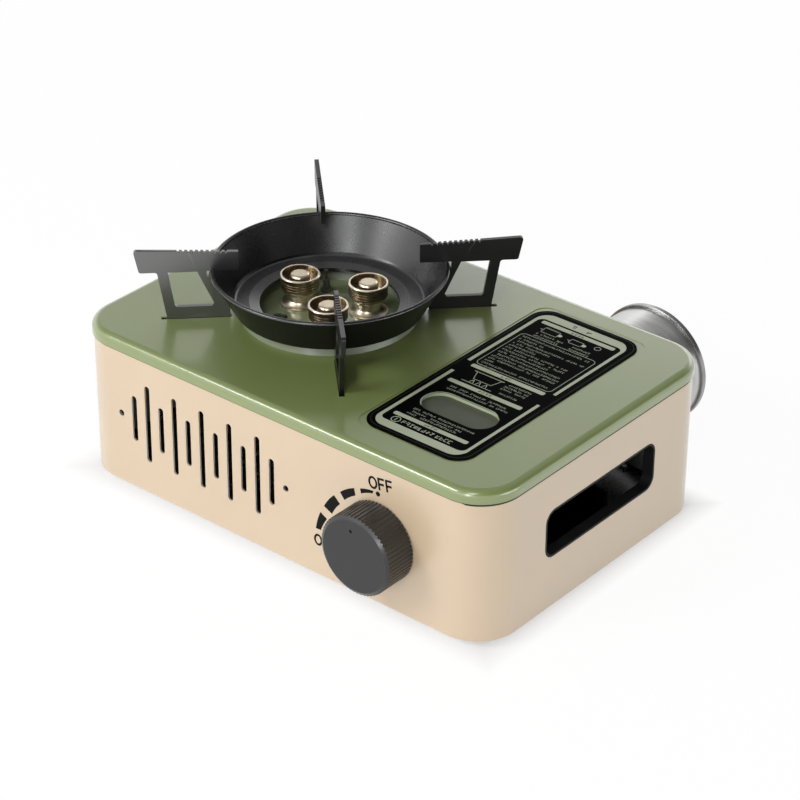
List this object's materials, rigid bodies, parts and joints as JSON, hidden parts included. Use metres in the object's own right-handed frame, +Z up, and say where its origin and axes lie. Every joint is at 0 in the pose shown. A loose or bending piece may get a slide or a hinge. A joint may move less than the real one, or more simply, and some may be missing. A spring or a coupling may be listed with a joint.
{
  "type": "butane cassette stove",
  "caption": "Low portable gas stove with a lift-off windshield pan and pot supports, a rotary control and a cartridge lying in a side bay.",
  "frame": {"origin": "on the table, under the middle of the stove measured from the knob's front to the cartridge's end", "axes": "+X to the right as seen from the knob, +Y to the back, +Z up"},
  "size_m": [0.2818, 0.2466, 0.1331],
  "materials": {
    "green_paint": "satin",
    "cream_paint": "satin",
    "black_enamel": "satin",
    "zinc_sheet": "satin",
    "zinc_screw": "bright",
    "brass": "polished",
    "dark_brass": "polished",
    "rubber": "matt",
    "black_plastic": "matt",
    "knob_plastic": "matt",
    "knob_disc": "satin",
    "panel_print": "satin",
    "cast_alloy": "as cast",
    "tinplate": "bright",
    "ceramic": "glazed",
    "dark_steel": "heat-tinted",
    "white_plastic": "satin",
    "pad_grey": "satin",
    "magnet": "plated"
  },
  "bodies": {
    "stove": {"lower_casing": "cream_paint", "base_plate": "black_enamel", "rubber_feet": "rubber", "base_screws": "zinc_screw", "top_cover": "green_paint", "cover_screws": "zinc_screw", "information_panel": "panel_print", "recess_pad": "pad_grey", "window_liner": "black_plastic", "partition": "zinc_sheet", "cartridge_cradle": "black_enamel", "cradle_screws": "zinc_screw", "regulator_body": "cast_alloy", "diaphragm_cover": "zinc_sheet", "regulator_screws": "zinc_screw", "gland_nut": "brass", "socket_seal": "rubber", "holding_magnets": "magnet", "locating_key": "zinc_screw", "regulator_bracket": "zinc_sheet", "gas_pipe": "brass", "pipe_nuts": "dark_brass", "gas_jet": "brass", "mixing_tube": "zinc_sheet", "manifold": "cast_alloy", "manifold_screws": "zinc_screw", "electrode_insulator": "ceramic", "electrode_pin": "dark_steel", "piezo_igniter": "black_plastic", "igniter_bracket": "zinc_sheet", "burner_stem_1": "brass", "burner_crown_1": "dark_brass", "burner_button_1": "brass", "burner_stem_2": "brass", "burner_crown_2": "dark_brass", "burner_button_2": "brass", "burner_stem_3": "brass", "burner_crown_3": "dark_brass", "burner_button_3": "brass"},
    "pan_support": {"windshield_bowl": "black_enamel", "pan_support_front_left": "black_enamel", "pan_support_front_right": "black_enamel", "pan_support_rear_left": "black_enamel", "pan_support_rear_right": "black_enamel"},
    "control": {"knob": "knob_plastic", "knob_face": "knob_disc", "valve_spindle": "brass", "igniter_cam": "white_plastic", "shaft_clip": "zinc_screw"},
    "plunger": {"igniter_plunger": "white_plastic"},
    "canister": {"cartridge_shell": "tinplate", "cartridge_base": "tinplate", "cartridge_top": "tinplate", "cartridge_collar": "tinplate", "cartridge_stem": "white_plastic"}
  },
  "joints": [
    {"name": "pan_lift", "type": "slide", "parent": "stove", "child": "pan_support", "axis": [0, 0, 1], "range_m": [0, 0.06]},
    {"name": "knob_turn", "type": "hinge", "parent": "stove", "child": "control", "pos_m": [0.072, -0.10375, 0.0418], "axis": [0, -1, 0], "range_deg": [0, 110]},
    {"name": "plunger_press", "type": "slide", "parent": "stove", "child": "plunger", "axis": [0, 0, -1], "range_m": [0, 0.004]},
    {"name": "cartridge_pull", "type": "slide", "parent": "stove", "child": "canister", "axis": [0, 1, 0], "range_m": [0, 0.15]}
  ],
  "couplings": [
    {"joint": "plunger_press", "follows": "knob_turn", "m_per_rad": 0.002083}
  ]
}
